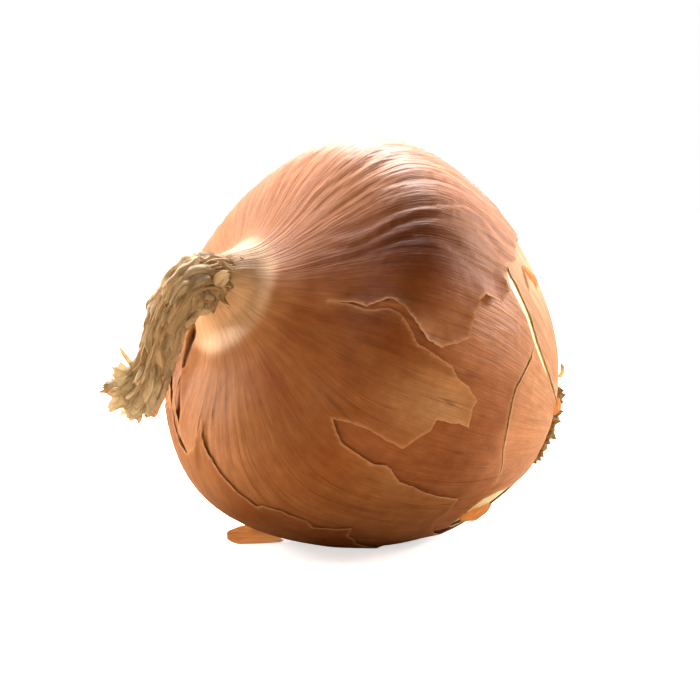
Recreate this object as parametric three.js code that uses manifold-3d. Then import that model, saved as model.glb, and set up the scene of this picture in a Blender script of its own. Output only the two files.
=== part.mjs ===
// A dry brown onion lying on its side: the fleshy bulb, two papery skins with their tears,
// the dried neck, the root plate and the loose flakes. Millimetres, +Z up, standing on z = 0.
import * as THREE from "three";
import { mergeVertices } from "three/addons/utils/BufferGeometryUtils.js";
import Module from "manifold-3d";

// ---------------------------------------------------------------- driving dimensions

// Outline of the bulb from the neck to the root, as [distance along the axis, radius].
// Distances count from the widest place, and grow towards the neck.
const PROFILE = [
  [31.5, 7.8],
  [28.2, 10.3],
  [26.2, 14],
  [24.8, 19.5],
  [23, 26.5],
  [19.5, 33.5],
  [13, 38.4],
  [4, 40],
  [-6, 39.4],
  [-17, 36.8],
  [-28, 31],
  [-37, 23.5],
  [-43.4, 15],
  [-45.5, 8],
];
const NECK_END = PROFILE[0][0];
const ROOT_END = PROFILE.at(-1)[0];
const WIDEST_RADIUS = 40;

// The axis is slightly bent: it points at the neck, up and to the front, and turns on its way.
const WIDEST_CENTRE = new THREE.Vector3(-2.7, -1.8, 39.6);
const RISE_AT_ROOT = THREE.MathUtils.degToRad(20);
const RISE_AT_NECK = THREE.MathUtils.degToRad(31);
const FORWARD_AT_ROOT = THREE.MathUtils.degToRad(12);
const FORWARD_AT_NECK = THREE.MathUtils.degToRad(36);
const BEND_SPAN = 80.5;

// Each layer starts this deep under the outer face of the skins.
const OUTER_SKIN = { top: 0, bottom: 0.4 };
const INNER_SKIN = { top: 0.7, bottom: 1.1 };
const FLESH_DEPTH = 1.4;
const GAP = 0.3;
const CRACK_WIDTH = 0.6;

const SIDES = 42;
const RINGS = 22;
const AXIS_STEPS = 24;

// Neck: where its middle runs, and its half width at even steps from the bulb to the tip.
const NECK_PATH = [
  [-29.7, -20.4, 53.7],
  [-32.9, -22.9, 52.3],
  [-35.8, -24.8, 48.4],
  [-37.8, -25.4, 43.3],
  [-39.6, -25, 38],
  [-42, -24.2, 33.5],
  [-45, -23.4, 31.3],
];
const NECK_HALF_WIDTHS = [6.9, 6.2, 5.8, 5.5, 4.9, 4.3, 4, 4.4, 5.1, 5.3, 3.4];
const NECK_FLATNESS = 0.8;
const NECK_SIDES = 22;
const NECK_RINGS = 18;
const NECK_FOLDS = 7;
const NECK_FOLD_DEPTH = 0.08;
const NECK_GAP = 0.5;

const ROOT_RADIUS = 7.8;
const ROOT_THICKNESS = 1.5;

// ---------------------------------------------------------------- solids and materials

const wasm = await Module();
wasm.setup();

function solidOf(geometry) {
  const bare = geometry.clone();
  bare.deleteAttribute("normal");
  bare.deleteAttribute("uv");
  const merged = mergeVertices(bare, 1e-4);
  return new wasm.Manifold(
    new wasm.Mesh({
      numProp: 3,
      vertProperties: new Float32Array(merged.attributes.position.array),
      triVerts: new Uint32Array(merged.index.array),
    }),
  );
}

function geometryOf(solid) {
  const { vertProperties, triVerts } = solid.getMesh();
  const geometry = new THREE.BufferGeometry();
  geometry.setAttribute("position", new THREE.BufferAttribute(vertProperties, 3));
  geometry.setIndex(new THREE.BufferAttribute(triVerts, 1));
  return geometry;
}

const onion = new THREE.Group();
onion.name = "onion";

function addPiece(name, geometry, color, roughness) {
  const faceted = geometry.index ? geometry.toNonIndexed() : geometry;
  faceted.computeVertexNormals();
  const material = new THREE.MeshStandardMaterial({ color, roughness, metalness: 0 });
  const piece = new THREE.Mesh(faceted, material);
  piece.name = name;
  onion.add(piece);
  return piece;
}

// ---------------------------------------------------------------- the bent axis

const { degToRad, lerp, clamp } = THREE.MathUtils;

function axisAngles(along) {
  const share = (along - ROOT_END) / BEND_SPAN;
  return {
    rise: lerp(RISE_AT_ROOT, RISE_AT_NECK, share),
    forward: lerp(FORWARD_AT_ROOT, FORWARD_AT_NECK, share),
  };
}

function axisDirection(along) {
  const { rise, forward } = axisAngles(along);
  return new THREE.Vector3(
    -Math.cos(forward) * Math.cos(rise),
    -Math.sin(forward),
    Math.cos(forward) * Math.sin(rise),
  );
}

function axisPoint(along) {
  const point = WIDEST_CENTRE.clone();
  const step = along / AXIS_STEPS;
  for (let i = 0; i < AXIS_STEPS; i++) point.addScaledVector(axisDirection((i + 0.5) * step), step);
  return point;
}

// Directions across the axis: up is the top meridian, front faces forwards.
function crossAxes(along) {
  const { rise } = axisAngles(along);
  const up = new THREE.Vector3(Math.sin(rise), 0, Math.cos(rise));
  return { up, front: new THREE.Vector3().crossVectors(up, axisDirection(along)) };
}

const profileCurve = new THREE.SplineCurve(
  PROFILE.map(([along, radius]) => new THREE.Vector2(radius, along)),
);
const fineProfile = profileCurve.getPoints(200);

function radiusAt(along) {
  const after = clamp(fineProfile.findIndex((point) => point.y <= along), 1, fineProfile.length - 1);
  const [a, b] = [fineProfile[after - 1], fineProfile[after]];
  return lerp(a.x, b.x, (a.y - along) / (a.y - b.y));
}

// A place on the outer face: degrees round the axis from the top meridian towards the front,
// distance along the axis, and a lift off the face.
function onSkin(degrees, along, lift = 0) {
  const angle = degToRad(degrees);
  const radius = radiusAt(along) + lift;
  const { up, front } = crossAxes(along);
  return axisPoint(along)
    .addScaledVector(up, radius * Math.cos(angle))
    .addScaledVector(front, radius * Math.sin(angle));
}

// ---------------------------------------------------------------- bulb and skins

// Moves every vertex of a shape with the function place(x, y, z).
function reshape(geometry, place) {
  const position = geometry.getAttribute("position");
  for (let i = 0; i < position.count; i++) {
    const moved = place(position.getX(i), position.getY(i), position.getZ(i));
    position.setXYZ(i, moved.x, moved.y, moved.z);
  }
  return geometry;
}

function belowHeight(height) {
  const size = 200;
  const box = new THREE.BoxGeometry(size, size, size, 1, 1, 1);
  box.translate(0, 0, height - size / 2);
  return solidOf(box);
}

// The whole onion up to a layer that lies this deep, pressed flat where it rests.
function layer(depth, overhang = 0) {
  const outline = [];
  for (let i = 0; i <= RINGS; i++) {
    const point = profileCurve.getPointAt(i / RINGS);
    const tangent = profileCurve.getTangentAt(i / RINGS);
    outline.push(new THREE.Vector2(point.x + tangent.y * depth, point.y - tangent.x * depth));
  }
  const first = outline[0];
  const last = outline.at(-1);
  first.y = NECK_END + overhang;
  last.y = ROOT_END - overhang;
  outline.unshift(new THREE.Vector2(0, first.y));
  outline.push(new THREE.Vector2(0, last.y));
  const lathe = reshape(new THREE.LatheGeometry(outline, SIDES), (x, y, z) => {
    const { up, front } = crossAxes(y);
    return axisPoint(y).addScaledVector(up, z).addScaledVector(front, x);
  });
  return solidOf(lathe).subtract(belowHeight(depth));
}

function skin({ top, bottom }) {
  return layer(top).subtract(layer(bottom, 1));
}

// An outline moved inwards by a distance, corner by corner.
function shrunk(outline, inset) {
  const inwards = THREE.ShapeUtils.isClockWise(outline) ? -inset : inset;
  return outline.map((corner, i) => {
    const before = outline.at(i - 1);
    const after = outline[(i + 1) % outline.length];
    const sideways = after.clone().sub(before).normalize();
    return new THREE.Vector2(corner.x - sideways.y * inwards, corner.y + sideways.x * inwards);
  });
}

// A torn place: a prism that narrows towards the middle of the onion, round an outline
// given as [degrees round, distance along] on the outer face. inset shrinks it.
function tear(outline, inset = 0) {
  const spokes = outline.map(([degrees, along]) => onSkin(degrees, along).sub(WIDEST_CENTRE));
  const middle = new THREE.Vector3();
  for (const spoke of spokes) middle.add(spoke.clone().normalize());
  middle.normalize();
  const turn = new THREE.Quaternion().setFromUnitVectors(new THREE.Vector3(0, 0, 1), middle);
  const back = turn.clone().invert();
  const flat = spokes.map((spoke) => {
    const local = spoke.clone().applyQuaternion(back);
    return new THREE.Vector2(local.x, local.y).multiplyScalar(WIDEST_RADIUS / local.z);
  });
  const inner = 0.12;
  const outer = 1.4;
  const shape = new THREE.Shape(shrunk(flat, inset));
  const prism = new THREE.ExtrudeGeometry(shape, { depth: 1, bevelEnabled: false });
  reshape(prism, (x, y, z) => {
    const share = lerp(inner, outer, z);
    return new THREE.Vector3(x * share, y * share, WIDEST_RADIUS * share);
  });
  prism.applyQuaternion(turn);
  prism.translate(WIDEST_CENTRE.x, WIDEST_CENTRE.y, WIDEST_CENTRE.z);
  return solidOf(prism);
}

// Large opening of the outer skin on the front and the root side, with its crack to the neck.
const FRONT_OPENING = [
  [22, -20],
  [38.5, -14.7],
  [43, -12],
  [48.5, -10.4],
  [52, -11.9],
  [56.5, -9.6],
  [56.5, -4.7],
  [64, -2.6],
  [70, -2.9],
  [75, 3.7],
  [72.5, 9.9],
  [67, 15],
  [65.5, 17.1],
  [69, 20.7],
  [67, 22.7],
  [70, 20.6],
  [68.4, 17.1],
  [72.5, 12.3],
  [77, 6.7],
  [78, -1.1],
  [82, -7.3],
  [86, -11.9],
  [93, -12.7],
  [93.5, -3.3],
  [104, 0.6],
  [103, 9.3],
  [109, 16.2],
  [111, 6],
  [114, -4],
  [117, -17.4],
  [121, -26.7],
  [133, -26],
  [144, -22],
  [158, -30],
  [166, -40],
  [166, -45.5],
  [100, -45.5],
  [14, -45.5],
  [12, -34],
];

// The lower skin is a torn remnant that lies under the onion, from the left crack to the root side.
const LOWER_REMNANT = [
  [204, 23.9],
  [195, 23.4],
  [187, 22.2],
  [177.5, 20.6],
  [170, 21],
  [166, 22.7],
  [158.5, 20.6],
  [149.5, 15],
  [145.5, 12.9],
  [141, 5],
  [143.5, 2],
  [138, -4.4],
  [145.5, -8.8],
  [152.5, -15.1],
  [165, -24],
  [185, -28],
  [205, -25],
  [222, -15],
  [228, 0],
  [222, 14],
  [214, 20.5],
];

// Openings of the inner skin: the long split beside the root, its cross crack, and the torn
// lower edge near the root.
const SPLIT = [
  [41, -12],
  [48, -14.5],
  [50.5, -17.8],
  [53.5, -22.5],
  [59, -27.1],
  [62.5, -31.9],
  [65, -37.8],
  [66.5, -43],
  [59, -43],
  [57.5, -38.9],
  [56.5, -33.5],
  [54.2, -27.1],
  [48, -21.3],
  [44, -14.5],
];
const CROSS_CRACK = [
  [58, -27.5],
  [64.5, -26.9],
  [77, -23.8],
  [87, -25],
  [100.5, -28.3],
  [114.5, -32.2],
  [100.5, -27.5],
  [87, -24.1],
  [77, -22.9],
  [64.5, -26],
];
const LOWER_OPENING = [
  [121.5, -43],
  [122.5, -39.4],
  [119, -32.9],
  [120.5, -28.9],
  [131, -26.7],
  [142, -27],
  [154, -31],
  [160, -38],
  [150, -43.5],
];

const flesh = layer(FLESH_DEPTH);
addPiece("bulb", geometryOf(flesh), 0xead9b4, 0.45);

const innerSkin = skin(INNER_SKIN)
  .subtract(tear(SPLIT))
  .subtract(tear(CROSS_CRACK))
  .subtract(tear(LOWER_OPENING));
addPiece("inner_skin", geometryOf(innerSkin), 0xb9794e, 0.5);

const wholeOuterSkin = skin(OUTER_SKIN);
const outerSkin = wholeOuterSkin
  .subtract(tear(FRONT_OPENING))
  .subtract(tear(LOWER_REMNANT, -CRACK_WIDTH / 2));
addPiece("outer_skin", geometryOf(outerSkin), 0xa8683f, 0.55);

const lowerSkin = wholeOuterSkin
  .intersect(tear(LOWER_REMNANT, CRACK_WIDTH / 2))
  .subtract(tear(FRONT_OPENING));
addPiece("lower_skin", geometryOf(lowerSkin), 0xb8713f, 0.55);

// ---------------------------------------------------------------- neck

const neckPath = new THREE.CatmullRomCurve3([
  axisPoint(NECK_END + NECK_GAP),
  ...NECK_PATH.map((point) => new THREE.Vector3(...point)),
]);

// The middle of the neck at a share of its length, and two directions across it.
function neckFrame(share) {
  const tangent = share === 0 ? axisDirection(NECK_END) : neckPath.getTangentAt(share);
  const side = new THREE.Vector3().crossVectors(tangent, new THREE.Vector3(0, 1, 0)).normalize();
  const back = new THREE.Vector3().crossVectors(side, tangent);
  return { centre: neckPath.getPointAt(share), side, back };
}

function neckGeometry() {
  const length = neckPath.getLength();
  const widths = new THREE.SplineCurve(NECK_HALF_WIDTHS.map((width, i) => new THREE.Vector2(i, width)));
  const outline = [new THREE.Vector2(0, length)];
  for (let i = NECK_RINGS; i >= 0; i--) {
    outline.push(new THREE.Vector2(widths.getPoint(i / NECK_RINGS).y, (length * i) / NECK_RINGS));
  }
  outline.push(new THREE.Vector2(0, 0));
  return reshape(new THREE.LatheGeometry(outline, NECK_SIDES), (x, y, z) => {
    const { centre, side, back } = neckFrame(clamp(y / length, 0, 1));
    const fold = 1 - NECK_FOLD_DEPTH * Math.cos(NECK_FOLDS * Math.atan2(x, z));
    return centre.addScaledVector(side, z * fold).addScaledVector(back, x * fold * NECK_FLATNESS);
  });
}

addPiece("neck", neckGeometry(), 0xb79a70, 0.8);

// ---------------------------------------------------------------- root plate

function rootPlateGeometry() {
  const near = ROOT_END - GAP;
  const far = near - ROOT_THICKNESS;
  const outline = [
    [0, near],
    [ROOT_RADIUS - 0.6, near],
    [ROOT_RADIUS, near - 0.5],
    [ROOT_RADIUS - 0.9, far + 0.2],
    [4, far],
    [0, far + 0.4],
  ].map(([radius, along]) => new THREE.Vector2(radius, along));
  return reshape(new THREE.LatheGeometry(outline, 28), (x, y, z) => {
    const { up, front } = crossAxes(y);
    return axisPoint(y).addScaledVector(up, z).addScaledVector(front, x);
  });
}

addPiece("root_plate", rootPlateGeometry(), 0x7a5c30, 0.9);

// ---------------------------------------------------------------- loose flakes

// A scrap of skin: an outline in its own plane, curled about its own Y axis.
function flakeGeometry(outline, curl) {
  const shape = new THREE.Shape(outline.map(([x, y]) => new THREE.Vector2(x, y)));
  const scrap = new THREE.ExtrudeGeometry(shape, { depth: OUTER_SKIN.bottom, bevelEnabled: false });
  return reshape(scrap, (x, y, z) => new THREE.Vector3(x, y, z + curl * x * x));
}

// Lays a flake on the skin: it touches along its X axis, then turns on the skin and tips off it.
function layOnSkin(piece, { place: [degrees, along], lift, turn, tip }) {
  const place = onSkin(degrees, along, lift);
  const outwards = onSkin(degrees, along, lift + 1).sub(place);
  const alongAxis = onSkin(degrees, along + 1, lift).sub(place).normalize();
  const round = new THREE.Vector3().crossVectors(alongAxis, outwards).normalize();
  const normal = new THREE.Vector3().crossVectors(round, alongAxis);
  piece.position.copy(place);
  piece.setRotationFromMatrix(new THREE.Matrix4().makeBasis(round, alongAxis, normal));
  piece.rotateZ(degToRad(turn));
  piece.rotateX(degToRad(tip));
}

const ON_OUTER_SKIN = GAP;
const ON_INNER_SKIN = GAP - INNER_SKIN.top;
const HUG = -0.5 / WIDEST_RADIUS;

const SKIN_FLAKES = [
  {
    name: "flake_left_side",
    outline: [[-2.5, 0], [2, 0], [2.6, 3], [0.5, 5.4], [-2.2, 4]],
    place: [209, 19.5],
    lift: ON_OUTER_SKIN + 0.4,
    turn: 60,
    tip: 30,
    curl: 0.03,
    color: 0xf0a764,
  },
  {
    name: "flake_lower_right",
    outline: [[-2.6, 0.5], [2.8, 0], [3.4, -3], [0.8, -6], [-2.2, -4.6]],
    place: [131, -29],
    lift: ON_OUTER_SKIN,
    turn: 0,
    tip: -8,
    curl: HUG,
    color: 0xc08c55,
  },
  {
    name: "flake_root_upper",
    outline: [[-1.5, 0], [1.6, 0], [1, -2.6], [-0.8, -2.2]],
    place: [50, -40.5],
    lift: ON_INNER_SKIN + 0.1,
    turn: 10,
    tip: -24,
    curl: HUG,
    color: 0xd98d4a,
  },
  {
    name: "flake_root_lower",
    outline: [[-1.4, 0], [1.5, 0], [1.1, -2.6], [-0.6, -2.9]],
    place: [72, -42],
    lift: ON_INNER_SKIN + 0.1,
    turn: -8,
    tip: -24,
    curl: HUG,
    color: 0xd98d4a,
  },
  {
    name: "flake_upper_right",
    outline: [[-1.6, 0], [1.3, 0.4], [2, -2.8], [0.2, -4.6], [-1.7, -3]],
    place: [36, -20],
    lift: ON_INNER_SKIN + 0.1,
    turn: 12,
    tip: -14,
    curl: HUG,
    color: 0xe0a06a,
  },
];

for (const { name, outline, curl, color, ...pose } of SKIN_FLAKES) {
  layOnSkin(addPiece(name, flakeGeometry(outline, curl), color, 0.6), pose);
}

// A pale chip sits on the front of the neck, close to the bulb.
const CHIP_SHARE = 0.13;
const CHIP_LIFT = 0.3;
const neckChip = addPiece(
  "neck_chip",
  flakeGeometry([[-1.7, -0.6], [-0.5, -1.8], [1.2, -1.5], [1.8, 0.2], [0.9, 1.5], [-1, 1.6]], 0),
  0xe9dcb4,
  0.7,
);
const chipFrame = neckFrame(CHIP_SHARE);
const chipReach = NECK_HALF_WIDTHS[1] * NECK_FLATNESS * (1 + NECK_FOLD_DEPTH) + CHIP_LIFT;
const chipOutwards = chipFrame.back.negate();
neckChip.position.copy(chipFrame.centre).addScaledVector(chipOutwards, chipReach);
neckChip.quaternion.setFromUnitVectors(new THREE.Vector3(0, 0, 1), chipOutwards);

// The largest flake hangs under the left side, between the skin and the surface below.
const hangingFlake = addPiece(
  "flake_lower_left",
  flakeGeometry([[-5.5, -2.4], [-1, -4], [4, -3.2], [5.6, 1], [3, 4], [-2.5, 4.4], [-5, 2]], 0.008),
  0xf0a764,
  0.6,
);
hangingFlake.position.set(-21.6, -3, 1.4);
hangingFlake.rotation.set(degToRad(9), degToRad(7), 0);

export default onion;
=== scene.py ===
"""A dry brown onion lying on its side: torn papery skins over pale flesh, a dried neck with a frayed tip,
a root plate with rootlets, and loose flakes of skin."""
import math

import bpy
import numpy as np
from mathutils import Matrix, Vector, kdtree
from mathutils.geometry import delaunay_2d_cdt


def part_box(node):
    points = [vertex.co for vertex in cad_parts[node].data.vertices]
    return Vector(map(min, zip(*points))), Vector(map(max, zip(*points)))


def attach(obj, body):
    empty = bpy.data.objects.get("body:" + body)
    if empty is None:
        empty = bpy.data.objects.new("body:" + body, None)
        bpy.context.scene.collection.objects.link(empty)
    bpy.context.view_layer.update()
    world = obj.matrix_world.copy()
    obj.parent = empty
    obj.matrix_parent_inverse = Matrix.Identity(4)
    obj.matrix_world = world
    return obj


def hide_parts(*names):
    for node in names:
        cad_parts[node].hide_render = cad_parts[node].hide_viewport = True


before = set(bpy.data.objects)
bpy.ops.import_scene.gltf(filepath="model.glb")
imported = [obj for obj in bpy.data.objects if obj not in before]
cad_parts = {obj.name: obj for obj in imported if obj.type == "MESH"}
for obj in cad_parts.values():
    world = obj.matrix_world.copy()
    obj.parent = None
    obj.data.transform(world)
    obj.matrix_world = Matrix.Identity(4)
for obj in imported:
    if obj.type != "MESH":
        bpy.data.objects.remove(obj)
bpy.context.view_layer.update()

# ------------------------------------------------------------------ driving dimensions, in millimetres

MM = 0.001

# Outline of the bulb from the neck to the root: distance along the axis from the widest place
# (growing towards the neck) and radius. It is the outer face of the outermost skin, which goes a
# little way up the neck as a collar.
PROFILE = [
    (34.0, 4.4), (33.2, 6.0), (31.5, 7.5), (28.2, 10.3), (26.2, 14), (24.8, 19.5), (23, 26.5),
    (19.5, 33.5), (13, 38.4), (4, 40), (-6, 39.4), (-17, 36.8), (-28, 31), (-37, 23.5), (-43.4, 15),
    (-45.5, 8),
]
NECK_END = 31.5
ROOT_END = PROFILE[-1][0]
WIDEST_RADIUS = 40.0
WIDEST_CENTRE = np.array((-2.7, -1.8, 39.6))
RISE = (20.0, 31.0)       # degrees that the axis climbs, at the root and at the neck
FORWARD = (12.0, 36.0)    # degrees that the axis turns to the front, at the root and at the neck
BEND_SPAN = 80.5

# How deep each layer lies under the outermost face.
LOWER_DEPTH = -0.22       # the remnant under the onion lies over the front sheet
INNER_DEPTH = 0.45
FLESH_DEPTH = 0.8
PAPER = 0.14              # thickness of a papery skin

# Each layer is flat where the onion rests, this high above the ground.
LOWER_FLAT = 0.0
OUTER_FLAT = 0.16
INNER_FLAT = 0.32
FLESH_FLAT = 0.5

# The seam of every skin runs along the back, where no tear crosses it.
SEAM = -90.0
SKIN_PITCH = 0.8

# ------------------------------------------------------------------ the shape of the onion


def spline(points, count):
    """Evenly stepped places on a smooth curve through the points."""
    points = np.asarray(points, float)
    last = len(points) - 1
    share = np.linspace(0, last, count)
    i = np.minimum(share.astype(int), last - 1)
    t = (share - i)[:, None]
    before, here = points[np.maximum(i - 1, 0)], points[i]
    there, after = points[i + 1], points[np.minimum(i + 2, last)]
    leave, arrive = (there - before) / 2, (after - here) / 2
    return (
        (2 * t**3 - 3 * t**2 + 1) * here
        + (t**3 - 2 * t**2 + t) * leave
        + (3 * t**2 - 2 * t**3) * there
        + (t**3 - t**2) * arrive
    )


def smooth_step(low, high, value):
    share = np.clip((value - low) / (high - low), 0, 1)
    return share * share * (3 - 2 * share)


def axis_angles(along):
    share = (along - ROOT_END) / BEND_SPAN
    rise = np.radians(RISE[0] + (RISE[1] - RISE[0]) * share)
    forward = np.radians(FORWARD[0] + (FORWARD[1] - FORWARD[0]) * share)
    return rise, forward


def axis_direction(along):
    rise, forward = axis_angles(along)
    return np.stack(
        (-np.cos(forward) * np.cos(rise), -np.sin(forward), np.cos(forward) * np.sin(rise)), -1
    )


AXIS_ALONG = np.arange(-60, 60.01, 0.25)
_steps = (axis_direction(AXIS_ALONG[1:]) + axis_direction(AXIS_ALONG[:-1])) / 2 * 0.25
_path = np.vstack((np.zeros(3), np.cumsum(_steps, 0)))
_middle = np.argmin(abs(AXIS_ALONG))
AXIS_PATH = _path - _path[_middle] + WIDEST_CENTRE


def axis_point(along):
    return np.stack([np.interp(along, AXIS_ALONG, AXIS_PATH[:, k]) for k in range(3)], -1)


def cross_axes(along):
    """Two directions across the axis: up to the top meridian, and to the front."""
    rise, _ = axis_angles(along)
    up = np.stack((np.sin(rise), np.zeros_like(rise), np.cos(rise)), -1)
    return up, np.cross(up, axis_direction(along))


_outline = spline(PROFILE, 900)
ALONG, RADIUS = _outline[:, 0], _outline[:, 1]
_run = np.hypot(np.diff(ALONG), np.diff(RADIUS))
RUN = np.concatenate(((0,), np.cumsum(_run)))      # length of skin from the neck
RUN_END = RUN[-1]
_slope_along, _slope_radius = np.gradient(ALONG, RUN), np.gradient(RADIUS, RUN)
NORMAL_ALONG, NORMAL_RADIUS = _slope_radius, -_slope_along


def run_at(along):
    """Length of skin from the neck down to a distance along the axis."""
    return np.interp(-np.asarray(along, float), -ALONG, RUN)


def on_onion(degrees, run, lift):
    """Places on the onion, lift above its outer face: degrees round the axis from the top meridian
    towards the front, and length of skin from the neck."""
    along = np.interp(run, RUN, ALONG) + np.interp(run, RUN, NORMAL_ALONG) * lift
    radius = np.interp(run, RUN, RADIUS) + np.interp(run, RUN, NORMAL_RADIUS) * lift
    up, front = cross_axes(along)
    angle = np.radians(degrees)
    across = np.cos(angle)[..., None] * up + np.sin(angle)[..., None] * front
    return lean(axis_point(along) + radius[..., None] * across, degrees, run)


# The neck stands back from the ridge round it, and is flatter from front to back.
LEAN_BACK = 1.5
LEAN_FLATTEN = 0.3


def ridge_run(degrees):
    """Length of skin from the neck to the ridge round it."""
    return run_at(27.4 - 1.4 * smooth_step(60, 170, turn_distance(degrees, 60)))


def lean(places, degrees, run):
    """Sets the skin inside the ridge round the neck back."""
    share = smooth_step(0, 5.5, ridge_run(degrees) - run)
    middle = axis_point(np.interp(run, RUN, ALONG))[..., 1]
    moved = places.copy()
    moved[..., 1] += share * (LEAN_BACK - LEAN_FLATTEN * (places[..., 1] - middle))
    return moved


def turn_distance(degrees, centre):
    """Degrees between two places round the axis, the short way."""
    return abs((degrees - centre + 180) % 360 - 180)


def waves(seed, around, along, count=12):
    """Seeded bumps of about -1 to 1, as a function of degrees round and length of skin. around is the
    range of whole waves in a turn, along the range of waves in 100 mm."""
    rng = np.random.default_rng(seed)
    turns = rng.integers(around[0], around[1] + 1, count)
    cycles = rng.uniform(along[0], along[1], count) * rng.choice((-1, 1), count) * 2 * math.pi / 100
    phases = rng.uniform(0, 2 * math.pi, count)

    def bumps(degrees, run):
        total = 0.0
        for turn, cycle, phase in zip(turns, cycles, phases):
            total = total + np.sin(np.radians(degrees) * turn + run * cycle + phase)
        return total * (1.5 / math.sqrt(count))

    return bumps


def crests(bumps):
    """Turns smooth bumps into narrow crests between wide valleys, 0 to 1."""
    return np.clip(1 - abs(bumps) * 1.6, 0, 1) ** 1.5


# ------------------------------------------------------------------ meshes


def mesh_object(name, places, faces, material, grain=None, marks=None, crease=50):
    """An object from places in millimetres, with its grain coordinates and marks for the material."""
    mesh = bpy.data.meshes.new(name)
    mesh.from_pydata((np.asarray(places) * MM).tolist(), [], [list(map(int, f)) for f in faces])
    mesh.materials.append(material)
    if grain is not None:
        corner = np.zeros(len(mesh.loops), np.int32)
        mesh.loops.foreach_get("vertex_index", corner)
        layer = mesh.uv_layers.new(name="grain")
        layer.data.foreach_set("uv", (np.asarray(grain)[corner] * MM).astype(np.float32).ravel())
    for mark, values in (marks or {}).items():
        attribute = mesh.attributes.new(mark, "FLOAT", "POINT")
        attribute.data.foreach_set("value", np.asarray(values, np.float32))
    mesh.polygons.foreach_set("use_smooth", [True] * len(mesh.polygons))
    mesh.set_sharp_from_angle(angle=math.radians(crease))
    mesh.validate()
    piece = bpy.data.objects.new(name, mesh)
    bpy.context.scene.collection.objects.link(piece)
    return piece


def ragged(outline, seed, rough=0.12, step=0.5):
    """A torn edge through the corners (degrees, along, lip): places on the flat skin (round, run) in
    millimetres, and the height of the lip at each."""
    rng = np.random.default_rng(seed)
    corners = np.array([(math.radians(d) * WIDEST_RADIUS, run_at(a), lip) for d, a, lip in outline])
    following = np.roll(corners, -1, 0)
    places = []
    for a, b in zip(corners, following):
        count = max(1, int(np.hypot(*(b - a)[:2]) / step))
        places.append(a + (b - a) * (np.arange(count) / count)[:, None])
    places = np.vstack(places)
    away = np.roll(places, -1, 0)[:, :2] - np.roll(places, 1, 0)[:, :2]
    away /= np.maximum(np.hypot(away[:, 0], away[:, 1]), 1e-6)[:, None]
    shift = np.zeros(len(places))
    for every, share in ((1, 0.45), (3, 0.7), (8, 1.0)):
        knots = np.arange(0, len(places) + every, every)
        shift += np.interp(np.arange(len(places)), knots, rng.normal(0, rough * share, len(knots)))
    places[:, 0] += -away[:, 1] * shift
    places[:, 1] += away[:, 0] * shift
    return places


def inside(points, outline):
    """Which points lie inside a closed outline."""
    result = np.zeros(len(points), bool)
    near = np.flatnonzero(
        (points[:, 0] > outline[:, 0].min()) & (points[:, 0] < outline[:, 0].max())
        & (points[:, 1] > outline[:, 1].min()) & (points[:, 1] < outline[:, 1].max())
    )
    x, y = points[near, 0], points[near, 1]
    count = np.zeros(len(near), bool)
    for (x0, y0), (x1, y1) in zip(outline[:, :2], np.roll(outline, -1, 0)[:, :2]):
        if y0 != y1:
            count ^= ((y0 > y) != (y1 > y)) & (x < (x1 - x0) * (y - y0) / (y1 - y0) + x0)
    result[near] = count
    return result


def cut_pattern(low, high, pitch, openings, patch=None):
    """The flat pattern of a skin between two corners (round, run): its points and triangles, without its
    openings, or within the patch."""
    edges_at = list(openings) + ([patch] if patch is not None else [])
    columns = np.linspace(low[0], high[0], int(round((high[0] - low[0]) / pitch)) + 1)
    rows = np.linspace(low[1], high[1], int(round((high[1] - low[1]) / pitch)) + 1)
    grid = np.stack(np.meshgrid(columns, rows), -1).reshape(-1, 2)
    if edges_at:
        known = np.vstack([e[:, :2] for e in edges_at])
        tree = kdtree.KDTree(len(known))
        for i, place in enumerate(known):
            tree.insert((place[0], place[1], 0), i)
        tree.balance()
        on_border = (
            (grid[:, 0] == columns[0]) | (grid[:, 0] == columns[-1])
            | (grid[:, 1] == rows[0]) | (grid[:, 1] == rows[-1])
        )
        far = np.array([tree.find((x, y, 0))[2] > pitch * 0.4 for x, y in grid.tolist()])
        grid = grid[far | on_border]
    points, edges = [grid], []
    total = len(grid)
    for border in edges_at:
        index = np.arange(total, total + len(border))
        edges += list(zip(index.tolist(), np.roll(index, -1).tolist()))
        points.append(border[:, :2])
        total += len(border)
    points = np.vstack(points)
    found = delaunay_2d_cdt([Vector(p) for p in points.tolist()], edges, [], 0, 1e-5, False)
    flat = np.array([v[:] for v in found[0]])
    faces = np.array([f for f in found[2] if len(f) == 3])
    middle = flat[faces].mean(1)
    keep = (middle[:, 0] > low[0]) & (middle[:, 0] < high[0])
    keep &= (middle[:, 1] > low[1]) & (middle[:, 1] < high[1])
    for opening in openings:
        keep &= ~inside(middle, opening)
    if patch is not None:
        keep &= inside(middle, patch)
    return drop_unused(flat, faces[keep])


def drop_unused(flat, faces):
    """The points that the faces use, and the faces renumbered to match."""
    used = np.unique(faces)
    renumber = np.full(len(flat), -1)
    renumber[used] = np.arange(len(used))
    return flat[used], renumber[faces]


def close_seam(flat, faces, low, high):
    """Joins the two sides of a pattern that goes all the way round."""
    left = np.flatnonzero(abs(flat[:, 0] - low) < 1e-4)
    right = np.flatnonzero(abs(flat[:, 0] - high) < 1e-4)
    match = np.arange(len(flat))
    for r in right:
        match[r] = left[np.argmin(abs(flat[left, 1] - flat[r, 1]))]
    return match[faces]


def edge_distance(places, edge_places):
    """Distance from each place to the nearest of the edge places, and which that is."""
    tree = kdtree.KDTree(len(edge_places))
    for i, place in enumerate(edge_places.tolist()):
        tree.insert(place, i)
    tree.balance()
    found = [tree.find(place)[1:] for place in places.tolist()]
    return np.array([f[1] for f in found]), np.array([f[0] for f in found])


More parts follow.
